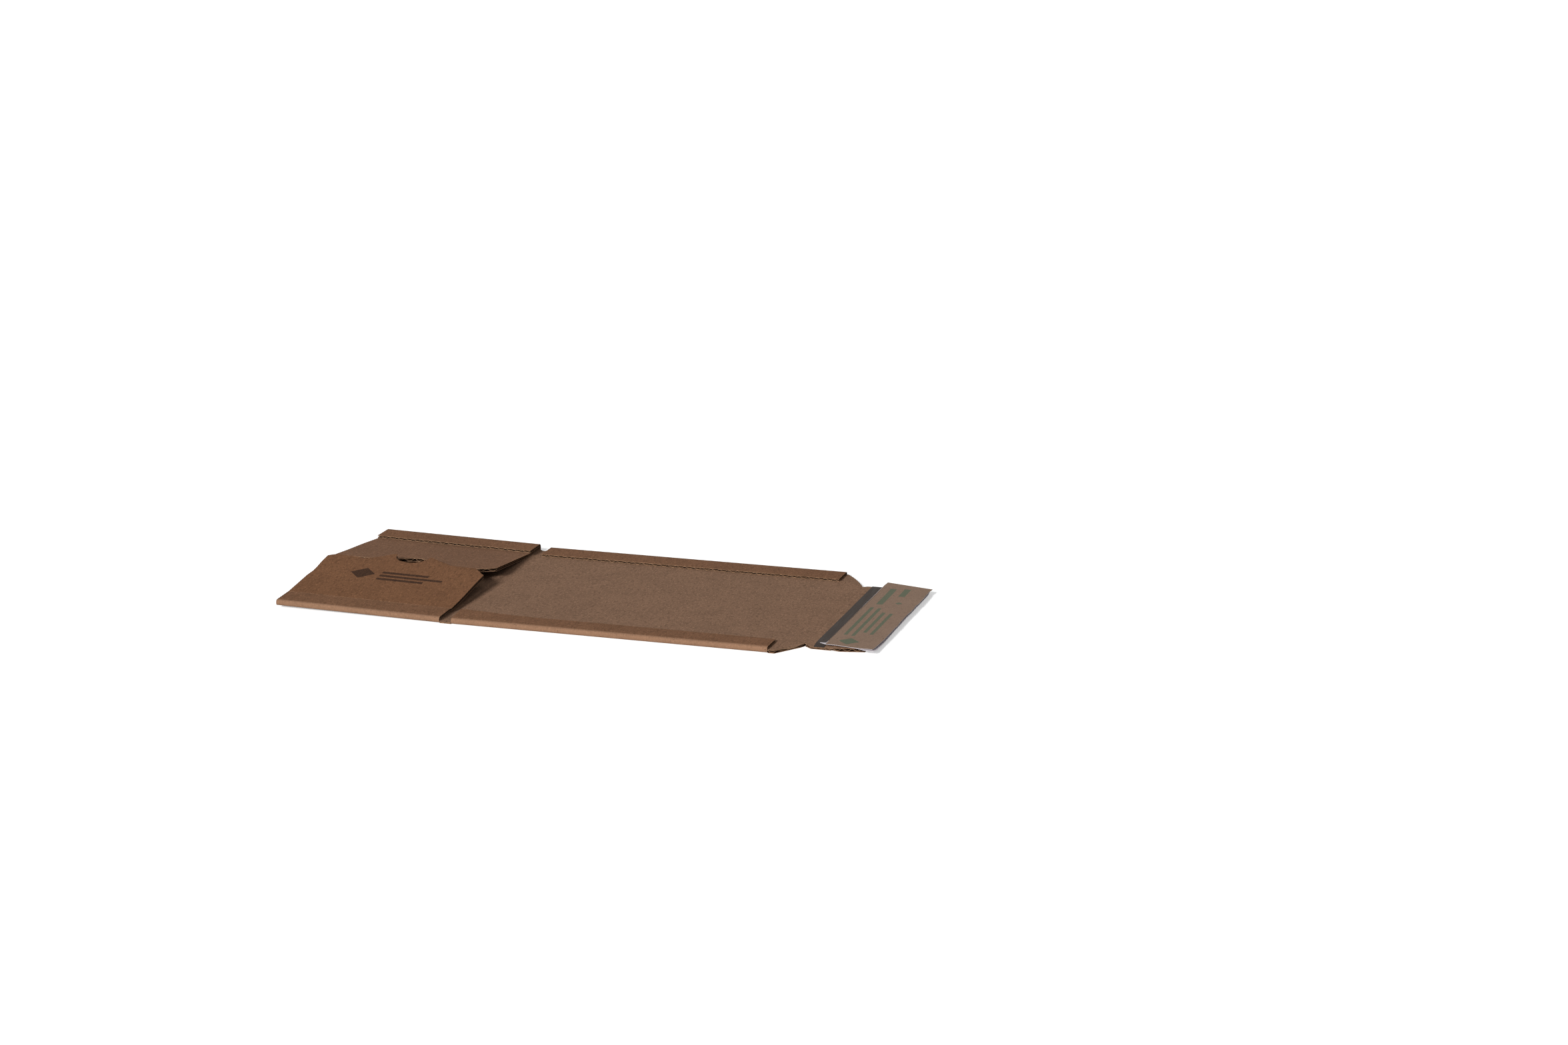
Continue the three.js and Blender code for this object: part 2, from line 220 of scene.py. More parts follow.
# A closed sheet between two grids of points, kept only where the mask of cells is true. The
# rows of cells in a band get a surface of their own.
def sheet_mesh(name, upper, lower, mask, material_face, material_back, material_edge, banded=None):
    columns, rows = upper.shape[:2]
    ids = np.arange(columns * rows).reshape(columns, rows)
    i, j = np.nonzero(mask)
    quads = np.stack([ids[i, j], ids[i + 1, j], ids[i + 1, j + 1], ids[i, j + 1]], 1)
    padded = np.zeros((columns + 1, rows + 1), bool)
    padded[1:columns, 1:rows] = mask
    ring = []
    # Borders that run along X
    here = padded[1:columns, 1:rows + 1]
    before = padded[1:columns, 0:rows]
    i, j = np.nonzero(here & ~before)
    ring.append(np.stack([ids[i, j], ids[i + 1, j]], 1))
    i, j = np.nonzero(before & ~here)
    ring.append(np.stack([ids[i + 1, j], ids[i, j]], 1))
    # Borders that run along Y
    here = padded[1:columns + 1, 1:rows]
    before = padded[0:columns, 1:rows]
    i, j = np.nonzero(before & ~here)
    ring.append(np.stack([ids[i, j], ids[i, j + 1]], 1))
    i, j = np.nonzero(here & ~before)
    ring.append(np.stack([ids[i, j + 1], ids[i, j]], 1))
    edges = np.concatenate(ring)
    shift = columns * rows
    back = quads[:, ::-1] + shift
    sides = np.stack([edges[:, 1], edges[:, 0], edges[:, 0] + shift, edges[:, 1] + shift], 1)
    faces = np.concatenate([quads, back, sides])
    points = np.concatenate([upper.reshape(-1, 3), lower.reshape(-1, 3)])
    first = quads[0]
    normal = np.cross(points[first[1]] - points[first[0]], points[first[3]] - points[first[0]])
    if np.dot(normal, points[first[0]] - points[first[0] + shift]) < 0:
        faces = faces[:, ::-1]
    used = np.unique(faces)
    renumber = np.zeros(len(points), int)
    renumber[used] = np.arange(len(used))
    mesh = bpy.data.meshes.new(name)
    mesh.from_pydata(to_row(points[used]).tolist(), [], renumber[faces].tolist())
    index = np.zeros(len(faces), np.int32)
    index[len(quads):2 * len(quads)] = 1
    index[2 * len(quads):] = 2
    for surface in (material_face, material_back, material_edge):
        mesh.materials.append(surface)
    if banded is not None:
        band, surface = banded
        index[:len(quads)][np.isin(np.nonzero(mask)[1], band)] = 3
        mesh.materials.append(surface)
    mesh.polygons.foreach_set("material_index", index)
    mesh.polygons.foreach_set("use_smooth", np.ones(len(faces), bool))
    mesh.set_sharp_from_angle(angle=math.radians(38))
    mesh.update()
    obj = bpy.data.objects.new(name, mesh)
    bpy.context.collection.objects.link(obj)
    return obj


# Where the wave of the middle paper is, as a share of its height
def flute_wave(x):
    phase = np.mod(x / FLUTE_PITCH + uneven(x, 11.0, 3, 0.07), 1.0)
    triangle = 1 - 4 * np.abs(phase - 0.5)
    sine = -np.cos(2 * math.pi * phase)
    return 0.55 * sine + 0.45 * triangle


# Corrugated board from the points of its outer and inner faces, each sunk as far as asked
def corrugated(name, outer, inner, mask, body, node, turn, sink, fold_band=None):
    wave = flute_wave(outer[..., 0])
    across = inner - outer
    thick = np.linalg.norm(across, axis=2, keepdims=True)
    unit = across / thick
    ripple = WASHBOARD * np.clip(thick / BASE_BOARD, 0.3, 1.2)
    outer = outer + unit * ripple * (1 - wave[..., None]) / 2
    inner = inner - unit * ripple * (1 + wave[..., None]) / 2
    outer = outer + unit * sink[0][..., None]
    inner = inner - unit * sink[1][..., None]
    across = inner - outer
    thick = np.linalg.norm(across, axis=2, keepdims=True)
    liner = np.minimum(LINER_PAPER / thick, 0.33)
    middle = np.minimum(FLUTE_PAPER / thick, 0.28)
    swing = np.maximum(0.5 - liner - middle / 2 + 0.02 / thick, 0.0)
    centre = 0.5 - swing * wave[..., None]
    # The liners' backs and the wave paper carry painted shade of the flute tunnels
    layers = {
        "outer_liner": (0 * liner, liner, FACES.get(name, OUTER_KRAFT), OUTER_BACK_PAINTED_SHADE, "outer_kraft"),
        "inner_liner": (1 + 0 * liner, 1 - liner, INNER_KRAFT, INNER_BACK_PAINTED_SHADE, "inner_kraft"),
        "flutes": (centre - middle / 2, centre + middle / 2, FLUTE_KRAFT_PAINTED_SHADE, FLUTE_KRAFT_PAINTED_SHADE, "inner_kraft"),
    }
    for layer, (near, far, face, back, slot) in layers.items():
        # The near fold's band of the outer liner is lighter: partly the stretched liner, partly a painted
        # highlight
        banded = (fold_band, FOLD_KRAFT_STRETCH_AND_HIGHLIGHT) if fold_band and layer == "outer_liner" else None
        piece = sheet_mesh(
            f"{name}_{layer}", turn(outer + across * near), turn(outer + across * far),
            mask, face, back, KRAFT_CUT_AND_HIGHLIGHT, banded)
        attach(piece, body)
        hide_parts(node)


# Columns along X at an even share of a flute, with extra ones where the outline turns
def columns(start, end, *extra):
    step = FLUTE_PITCH / FLUTE_SAMPLES
    inside = np.arange(math.ceil(start / step), math.floor(end / step) + 1) * step
    turns = np.array(sorted({start, end, *extra}))
    far_enough = np.min(np.abs(inside[:, None] - turns[None, :]), axis=1) > 0.15
    return np.sort(np.concatenate([inside[far_enough], turns]))


# Points of a folded edge in a section: the outer face goes round the fold, the inner face
# turns in the slit between base and rail. A low power squares the fold.
def fold_rows(stack, far_edge, power):
    radius = stack / 2
    slit_radius = (stack - RAIL_BOARD - BASE_BOARD) / 2
    centre_y = BOARD_WIDTH - radius if far_edge else radius
    start = -90 if far_edge else 90
    rows = []
    for step in range(FOLD_STEPS + 1):
        angle = math.radians(start + 180 * step / FOLD_STEPS)
        reach_y = math.copysign(abs(math.cos(angle)) ** power, math.cos(angle))
        reach_z = math.copysign(abs(math.sin(angle)) ** power, math.sin(angle))
        slit_y = centre_y + slit_radius * math.cos(angle)
        slit_z = BASE_BOARD + slit_radius + slit_radius * math.sin(angle)
        rows.append(((centre_y + radius * reach_y, radius + radius * reach_z), (slit_y, slit_z)))
    return rows


def flat_rows(places, outer_z, inner_z):
    return [((y, outer_z), (y, inner_z)) for y in places]


# The section's rows repeated for each column
def section_grid(rows, xs):
    outer = np.zeros((len(xs), len(rows), 3))
    inner = np.zeros((len(xs), len(rows), 3))
    outer[..., 0] = xs[:, None]
    inner[..., 0] = xs[:, None]
    for j, (face, back) in enumerate(rows):
        outer[:, j, 1:] = face
        inner[:, j, 1:] = back
    return outer, inner


# Rows that come closer together up to a cut edge
def rows_to_edge(ends):
    return np.stack([ends - 1.2, ends - 0.5, ends], 1)


# Presses the board thinner towards a cut edge, unevenly along X
def edge_press(xs, distance, seed, depth, step=2.3):
    amount = depth * (0.5 + 0.5 * uneven(xs, step, seed, 1.0))[:, None]
    return amount * (1 - smooth_step(distance, 0, PRESS_REACH))


# Flutes show as soft ribs round a near fold
def rib_near_fold(sink_outer, xs, seed, height):
    ribs = height * (1 - np.cos(2 * math.pi * xs / FLUTE_PITCH)) / 2
    ribs = ribs + uneven(xs, 3.1, seed, RIB_UNEVENNESS) + RIB_UNEVENNESS
    for step in range(FOLD_STEPS + 1):
        sink_outer[:, STRIP_ROWS + step] = ribs * math.sin(math.pi * step / FOLD_STEPS)


# Rows of the near fold whose outer face gets the lighter fold tone, partly a painted highlight
NEAR_FOLD_BAND = list(range(STRIP_ROWS, STRIP_ROWS + FOLD_STEPS))


# Materials

def new_material(name):
    surface = bpy.data.materials.new(name)
    surface.use_nodes = True
    tree = surface.node_tree
    shader = tree.nodes["Principled BSDF"]
    return surface, tree, shader


def add_math(tree, operation, first, second=None):
    node = tree.nodes.new("ShaderNodeMath")
    node.operation = operation
    for socket, value in zip(node.inputs, (first, second)):
        if value is None:
            continue
        if isinstance(value, (int, float)):
            socket.default_value = value
        else:
            tree.links.new(value, socket)
    return node.outputs[0]


def add_noise(tree, vector, scale, detail, roughness=0.5, stretch=None):
    if stretch is not None:
        mapping = tree.nodes.new("ShaderNodeMapping")
        mapping.inputs["Scale"].default_value = stretch
        tree.links.new(vector, mapping.inputs["Vector"])
        vector = mapping.outputs["Vector"]
    node = tree.nodes.new("ShaderNodeTexNoise")
    node.inputs["Scale"].default_value = scale
    node.inputs["Detail"].default_value = detail
    node.inputs["Roughness"].default_value = roughness
    tree.links.new(vector, node.inputs["Vector"])
    return node.outputs["Fac"]


def add_range(tree, value, from_low, from_high, to_low, to_high):
    node = tree.nodes.new("ShaderNodeMapRange")
    node.interpolation_type = "SMOOTHSTEP"
    node.inputs["From Min"].default_value = from_low
    node.inputs["From Max"].default_value = from_high
    node.inputs["To Min"].default_value = to_low
    node.inputs["To Max"].default_value = to_high
    tree.links.new(value, node.inputs["Value"])
    return node.outputs["Result"]


def add_mix(tree, factor, first, second):
    node = tree.nodes.new("ShaderNodeMix")
    node.data_type = "RGBA"
    for index, value in ((6, first), (7, second)):
        if isinstance(value, tuple):
            node.inputs[index].default_value = (*value, 1.0)
        else:
            tree.links.new(value, node.inputs[index])
    tree.links.new(factor, node.inputs[0])
    return node.outputs[2]


def add_bump(tree, shader, height, strength, distance):
    bump = tree.nodes.new("ShaderNodeBump")
    bump.inputs["Strength"].default_value = strength
    bump.inputs["Distance"].default_value = distance
    tree.links.new(height, bump.inputs["Height"])
    tree.links.new(bump.outputs["Normal"], shader.inputs["Normal"])


def from_srgb(red, green, blue, level=1.0):
    linear = []
    for value in (red, green, blue):
        share = value / 255
        share = share / 12.92 if share <= 0.04045 else ((share + 0.055) / 1.055) ** 2.4
        linear.append(share * level)
    return tuple(linear)


def scaled(colour, factor):
    return tuple(min(1.0, channel * factor) for channel in colour)


# Kraft paper: cloudy pulp, short fibres laid mostly one way, dark flecks and pale shives
def kraft(name, colour, prints=None, contrast=1.3, roughness=0.9):
    surface, tree, shader = new_material(name)
    place = tree.nodes.new("ShaderNodeTexCoord").outputs["Object"]
    clouds = add_noise(tree, place, 45, 3, 0.55)
    mottle = add_noise(tree, place, 560, 3, 0.65, (1.0, 0.45, 1.0))
    fibres = add_noise(tree, place, 1000, 2, 0.6, (0.5, 0.7, 1.0))
    grain = add_noise(tree, place, 1000, 2, 0.7, (1.0, 0.4, 1.0))
    flecks = add_noise(tree, place, 680, 2, 0.5, (0.8, 0.4, 1.0))
    shade = add_mix(
        tree, add_range(tree, clouds, 0.32, 0.68, 0, 1),
        scaled(colour, 1 - 0.05 * contrast), scaled(colour, 1 + 0.05 * contrast))
    for noise, low, high, amount, level in (
            (mottle, 0.5, 0.68, 0.85 * contrast, 0.74),
            (fibres, 0.52, 0.72, 0.6 * contrast, 0.7),
            (grain, 0.5, 0.72, 0.6 * contrast, 1.5),
            (flecks, 0.7, 0.75, 0.75, 0.45)):
        shade = add_mix(tree, add_range(tree, noise, low, high, 0, amount), shade, scaled(colour, level))
    if prints is not None:
        shade = add_mix(tree, prints["mask"](tree, place), shade, prints["ink"])
    tree.links.new(shade, shader.inputs["Base Color"])
    shader.inputs["Roughness"].default_value = roughness
    shader.inputs["Specular IOR Level"].default_value = 0.05
    add_bump(tree, shader, add_math(tree, "ADD", mottle, fibres), 0.4, 0.00012)
    return surface


# A print of plain bars and diamonds. A bar has a middle and two half sizes, and a diamond a
# middle and one half size, in millimetres of the blank.
def plain_print(marks, ink, strength):
    def mask(tree, place):
        split = tree.nodes.new("ShaderNodeSeparateXYZ")
        tree.links.new(place, split.inputs[0])
        speckle = add_noise(tree, place, 1500, 2, 0.6)
        total = None
        for middle_x, middle_y, *half in marks:
            row_x = (middle_x - OVERALL_LENGTH / 2) * MM
            row_y = (middle_y - BOARD_WIDTH / 2) * MM
            away_x = add_math(tree, "SUBTRACT", split.outputs["X"], row_x)
            away_y = add_math(tree, "SUBTRACT", split.outputs["Y"], row_y)
            away_x = add_math(tree, "ABSOLUTE", away_x)
            away_y = add_math(tree, "ABSOLUTE", away_y)
            if len(half) == 2:
                in_x = add_math(tree, "LESS_THAN", away_x, half[0] * MM)
                in_y = add_math(tree, "LESS_THAN", away_y, half[1] * MM)
                inside = add_math(tree, "MULTIPLY", in_x, in_y)
            else:
                inside = add_math(tree, "LESS_THAN", add_math(tree, "ADD", away_x, away_y), half[0] * MM)
            total = inside if total is None else add_math(tree, "MAXIMUM", total, inside)
        worn = add_range(tree, speckle, 0.3, 0.62, strength, strength * 0.72)
        return add_math(tree, "MULTIPLY", total, worn)
    return {"mask": mask, "ink": ink}


# Colours are given as they look on a level face and divided by the light that falls there
LIGHT_LEVEL = 0.88
# The liners' backs face into the flute tunnels and are darkened by this factor as painted shade
TUNNEL_PAINTED_SHADE = 0.7
INNER_TONE = from_srgb(117, 91, 73, 1 / LIGHT_LEVEL)
OUTER_TONE = from_srgb(108, 78, 58, 1 / LIGHT_LEVEL)
# The near flap's kraft is darker than the other outer faces as painted shade, where the flap tilts towards
# the light; its print is real
NEAR_FLAP_PAINTED_SHADE_TONE = from_srgb(104, 73, 52, 1 / LIGHT_LEVEL)
# The far flap's kraft is lighter and paler than the other outer faces as painted sheen, where it slopes away
FAR_FLAP_PAINTED_SHEEN_TONE = from_srgb(113, 84, 65, 1 / LIGHT_LEVEL)
# The near folds' outer face is lighter: partly the stretched liner, partly a painted highlight
FOLD_STRETCH_AND_HIGHLIGHT_TONE = from_srgb(121, 92, 72, 1 / LIGHT_LEVEL)
# Cut edges are paler: partly the cut paper, partly a painted highlight along the edges
CUT_PAPER_AND_HIGHLIGHT_TONE = from_srgb(134, 105, 82, 1 / LIGHT_LEVEL)
# The wave paper is darker than the liners as painted shade inside the flute tunnels
FLUTE_PAINTED_SHADE_TONE = from_srgb(92, 68, 50, 1 / LIGHT_LEVEL)
PAPER_TONE = from_srgb(122, 101, 86, 1 / LIGHT_LEVEL)
TAPE_TONE = from_srgb(50, 43, 39, 1 / LIGHT_LEVEL)

OUTER_KRAFT = kraft("outer_kraft_face", OUTER_TONE)
OUTER_BACK_PAINTED_SHADE = kraft("outer_kraft_back_painted_shade", scaled(OUTER_TONE, TUNNEL_PAINTED_SHADE))
INNER_KRAFT = kraft("inner_kraft_face", INNER_TONE)
INNER_BACK_PAINTED_SHADE = kraft("inner_kraft_back_painted_shade", scaled(INNER_TONE, TUNNEL_PAINTED_SHADE))
FLUTE_KRAFT_PAINTED_SHADE = kraft("flute_kraft_painted_shade", FLUTE_PAINTED_SHADE_TONE)
KRAFT_CUT_AND_HIGHLIGHT = kraft("kraft_cut_edge_painted_highlight", CUT_PAPER_AND_HIGHLIGHT_TONE, contrast=1.2)
FAR_KRAFT_PAINTED_SHEEN = kraft("far_flap_painted_sheen_face", FAR_FLAP_PAINTED_SHEEN_TONE)
FLAP_PRINT = plain_print(
    ((36.0, 62.0, 9.0), (36.0, 62.0, 3.0), (66.0, 66.0, 17.0, 1.6), (72.0, 60.5, 23.0, 1.6),
     (66.0, 55.0, 17.0, 1.6)),
    from_srgb(38, 28, 24), 0.95)
LINER_PRINT = plain_print(
    ((392.0, 28.5, 7.0), (385.6, 75.0, 1.2, 33.0), (391.0, 74.0, 1.2, 33.0), (396.4, 74.0, 1.2, 24.0),
     (401.8, 72.0, 1.2, 25.0), (388.0, 135.0, 2.2, 19.0), (397.5, 147.0, 2.2, 9.0), (400.0, 122.0, 2.6)),
    from_srgb(66, 92, 74), 0.8)
PRINTED_KRAFT_PAINTED_SHADE = kraft("printed_kraft_painted_shade_face", NEAR_FLAP_PAINTED_SHADE_TONE, FLAP_PRINT)
FOLD_KRAFT_STRETCH_AND_HIGHLIGHT = kraft("stretched_fold_painted_highlight_face", FOLD_STRETCH_AND_HIGHLIGHT_TONE, contrast=0.6)
FACES = {"near_flap": PRINTED_KRAFT_PAINTED_SHADE, "far_flap": FAR_KRAFT_PAINTED_SHEEN}


# Pocket base

def pocket_base():
    xs = columns(0.0, HINGE_X - CREASE_GAP / 2, POCKET_LENGTH, POCKET_LENGTH + BARE_COLUMN)
    strip_end = POCKET_STRIP - CREASE_GAP / 2
    rail_end = FAR_CREASE_Y + CREASE_GAP
    fold_y = WRAP_STACK / 2
    rows = []
    for y in (strip_end, strip_end - 0.8, 15.0, 11.0, 6.5):
        share = (y - fold_y) / (strip_end - fold_y)
        top = WRAP_STACK + (NEAR_CREASE_HEIGHT - WRAP_STACK) * share
        rows.append(((y, top), (y, top - RAIL_BOARD)))
    rows += fold_rows(WRAP_STACK, False, NEAR_FOLD_POWER)
    base_first = len(rows) - 1
    rows += flat_rows(BASE_ROWS, 0.0, BASE_BOARD)
    rows += fold_rows(FAR_STACK, True, FAR_FOLD_POWER)
    base_last = len(rows) - 1 - FOLD_STEPS
    rows += flat_rows((180.0, 175.0, 170.0, rail_end + 0.8, rail_end), FAR_STACK, FAR_STACK - RAIL_BOARD)
    outer, inner = section_grid(rows, xs)
    only_base = xs > POCKET_LENGTH + 0.1
    rail_inset = POCKET_RAIL_INSET * (1 - smooth_step(xs, 0.0, POCKET_RAIL_INSET_REACH))
    for grid in (outer, inner):
        grid[:, base_last + 1:, 0] += rail_inset[:, None]
        grid[only_base, base_first, 1] = BARE_INSET
        grid[only_base, base_last, 1] = BOARD_WIDTH - BARE_INSET
    # The board is pressed flat where it creases
    crush = CREASE_CRUSH * smooth_step(xs, POCKET_LENGTH - 1.0, POCKET_LENGTH + 2.0)
    sink_inner = np.zeros(outer.shape[:2])
    sink_inner[:, base_first + 1:base_last] += crush[:, None]
    for row in (base_first, base_last):
        sink_inner[only_base, row] = crush[only_base] + BARE_SINK
    sink_outer = np.zeros(outer.shape[:2])
    rib_near_fold(sink_outer, xs, 5, 0.07)
    mask = np.ones((len(xs) - 1, len(rows) - 1), bool)
    beyond = xs[:-1] >= POCKET_LENGTH - 1e-6
    mask[np.ix_(beyond, np.r_[0:base_first, base_last:len(rows) - 1])] = False
    corrugated("pocket_base", outer, inner, mask, "pocket", "pocket_base", tilt_pocket,
               (sink_outer, sink_inner), NEAR_FOLD_BAND)


# The thumb notch, a half round that is cut into both flaps

def thumb_turns():
    angles = [math.radians(angle) for angle in range(0, 181, 10)]
    return [round(THUMB_X + THUMB_RADIUS * math.cos(angle), 4) for angle in angles]


def thumb_depth(x):
    return np.sqrt(np.clip(THUMB_RADIUS ** 2 - (x - THUMB_X) ** 2, 0, None))


# Near flap

def near_flap_turns():
    return [NEAR_CORNER_LEFT, SHOULDER_WIDTH, THUMB_X - THUMB_RADIUS - CREST_FLAT,
            THUMB_X + THUMB_RADIUS + CREST_FLAT, POCKET_LENGTH - SHOULDER_WIDTH,
            POCKET_LENGTH - NEAR_CORNER_RIGHT]


def near_flap_end(x):
    turns = near_flap_turns()
    left = np.interp(x, [0, *turns[:3]],
                     [NEAR_SIDE_LEFT, NEAR_SHOULDER_LEFT, NEAR_SHOULDER_LEFT, NEAR_CREST])
    right = np.interp(x, [*turns[3:], POCKET_LENGTH],
                      [NEAR_CREST, NEAR_SHOULDER, NEAR_SHOULDER, NEAR_SIDE_RIGHT])
    return np.where(x < THUMB_X, left, right) - thumb_depth(x)


def near_flap():
    xs = columns(0.0, POCKET_LENGTH, *near_flap_turns(), *thumb_turns())
    ends = near_flap_end(xs)
    shares = np.array([0.06, 0.14, 0.26, 0.415, 0.455, 0.57, 0.7, 0.83, 0.92, 1.0])
    first = np.array([CREASE_GAP / 2, 1.2, 2.5, 4.0, CREASE_TAPER])
    near_rows = np.repeat(first[None, :], len(xs), 0)
    far_rows = CREASE_TAPER + (ends[:, None] - 2.2 - CREASE_TAPER) * shares[None, :]
    v = np.concatenate([near_rows, far_rows, rows_to_edge(ends)], 1)
    thick = np.interp(v, [0, CREASE_TAPER], [CREASED_BOARD, FLAP_BOARD])
    outer = np.zeros((*v.shape, 3))
    inner = np.zeros((*v.shape, 3))
    for grid, depth in ((outer, 0 * v), (inner, -thick)):
        grid[..., 0] = xs[:, None]
        grid[..., 1] = POCKET_STRIP + v * math.cos(NEAR_SLOPE) - depth * math.sin(NEAR_SLOPE)
        grid[..., 2] = NEAR_CREASE_HEIGHT + v * math.sin(NEAR_SLOPE) + depth * math.cos(NEAR_SLOPE)
    # The left side is cut with a small jog half way up, and its corner bends up
    jog = NEAR_JOG * smooth_step(v, 31.0, 33.0) * (1 - smooth_step(v, 38.0, 56.0))
    jog = jog * (1 - smooth_step(xs, 0.0, 22.0))[:, None]
    lift = NEAR_CORNER_LIFT * smooth_step(v, 42.0, 64.0) * (1 - smooth_step(xs, 4.0, 34.0))[:, None]
    # The right side is a little wider near its root
    bulge = NEAR_ROOT_BULGE * (v > 1.0) * (1 - smooth_step(v, 15.0, 50.0))
    bulge = bulge * smooth_step(xs, 100.0, POCKET_LENGTH)[:, None]
    for grid in (outer, inner):
        grid[..., 0] += jog + bulge
        grid[..., 2] += lift
    distance = ends[:, None] - v
    sink_outer = edge_press(xs, distance, 21, 0.22)
    sink_inner = edge_press(xs, distance, 22, 0.22)
    mask = np.ones((len(xs) - 1, v.shape[1] - 1), bool)
    corrugated("near_flap", outer, inner, mask, "near_flap", "near_flap", tilt_pocket,
               (sink_outer, sink_inner))


# Far flap

def far_flap():
    slope = math.atan2(FAR_FRONT_HEIGHT - FAR_STRIP_TOP, FAR_CREASE_Y - FAR_FRONT_Y)
    full = (FAR_CREASE_Y - FAR_FRONT_Y) / math.cos(slope)
    left = FAR_SIDE_LEFT
    right = FAR_SIDE_RIGHT
    corners = [left + FAR_CORNER_LEFT, right - FAR_CORNER_RIGHT]
    notch_sides = [THUMB_X - THUMB_RADIUS - 0.05, THUMB_X + THUMB_RADIUS + 0.05]
    xs = columns(left, right, *corners, *notch_sides, *thumb_turns())
    inset = np.interp(xs, [left, *corners, right], [FAR_CORNER_LEFT, 0, 0, FAR_CORNER_RIGHT])
    notch = (FAR_THUMB_DEPTH + thumb_depth(xs)) * (np.abs(xs - THUMB_X) < THUMB_RADIUS + 0.01)
    ends = full - inset - notch
    shares = np.array([0.08, 0.16, 0.28, 0.42, 0.57, 0.72, 0.86, 1.0])
    first = np.array([0.0, 2.0, 5.0, 8.5, FAR_CREASE_TAPER])
    near_rows = np.repeat(first[None, :], len(xs), 0)
    far_rows = FAR_CREASE_TAPER + (ends[:, None] - 2.2 - FAR_CREASE_TAPER) * shares[None, :]
    w = np.concatenate([near_rows, far_rows, rows_to_edge(ends)], 1)
    thick = np.interp(w, [0, FAR_CREASE_TAPER], [FAR_STRIP_TOP - FAR_STRIP_BOTTOM, FLAP_BOARD])
    # The glued strip lies level under the rail, and the flap rises from its crease
    strip = np.array([BOARD_WIDTH - 2.3, 178.0, 171.0])
    count = len(strip)
    outer = np.zeros((len(xs), count + w.shape[1], 3))
    inner = outer.copy()
    outer[..., 0] = xs[:, None]
    inner[..., 0] = xs[:, None]
    outer[:, :count, 1] = strip
    inner[:, :count, 1] = strip
    outer[:, :count, 2] = FAR_STRIP_TOP
    inner[:, :count, 2] = FAR_STRIP_BOTTOM
    bend = smooth_step(w, 0, FAR_CREASE_TAPER)
    outer[:, count:, 1] = FAR_CREASE_Y - w * math.cos(slope)
    outer[:, count:, 2] = FAR_STRIP_TOP + w * math.sin(slope)
    inner[:, count:, 1] = outer[:, count:, 1] - bend * thick * math.sin(slope)
    inner[:, count:, 2] = outer[:, count:, 2] - thick * math.cos(slope)
    # The left side is cut in a slight bow
    bow = np.interp(outer[..., 1], [FAR_FRONT_Y, 115, 142, FAR_CREASE_Y], [-0.9, -0.5, -0.95, -0.3])
    bow = bow * (1 - smooth_step(xs, left, left + FAR_BOW_REACH))[:, None]
    outer[..., 0] += bow
    inner[..., 0] += bow
    no_edge = np.full((len(xs), count), 50.0)
    distance = np.concatenate([no_edge, ends[:, None] - w], 1)
    sink_outer = edge_press(xs, distance, 31, 0.15)
    sink_inner = edge_press(xs, distance, 32, 0.2)
    mask = np.ones((len(xs) - 1, outer.shape[1] - 1), bool)
    corrugated("far_flap", outer, inner, mask, "pocket", "far_flap", tilt_pocket,
               (sink_outer, sink_inner))


# Wrap panel

# The two cut shoulders: places of the near and the far edge of the base along X
def base_edges(xs, end):
    low = np.interp(xs, [0, SHOULDER_START_X, end - NOTCH_WIDTH, end],
                    [BARE_INSET, BARE_INSET, NEAR_SHOULDER_INSET, NEAR_NOTCH_INSET])
    share = np.linspace(0, 1, 60)
    bow_x = curve(RAIL_END_X, (RAIL_END_X + end) / 2 + SHOULDER_BOW, end, share)
    bow_y = curve(BOARD_WIDTH + 1, BOARD_WIDTH - FAR_SHOULDER_INSET / 2 + SHOULDER_BOW,
                  BOARD_WIDTH - FAR_SHOULDER_INSET, share)
    high = np.minimum(np.interp(xs, bow_x, bow_y), BOARD_WIDTH - BARE_INSET)
    high[xs < RAIL_END_X] = BOARD_WIDTH - BARE_INSET
    return low, high


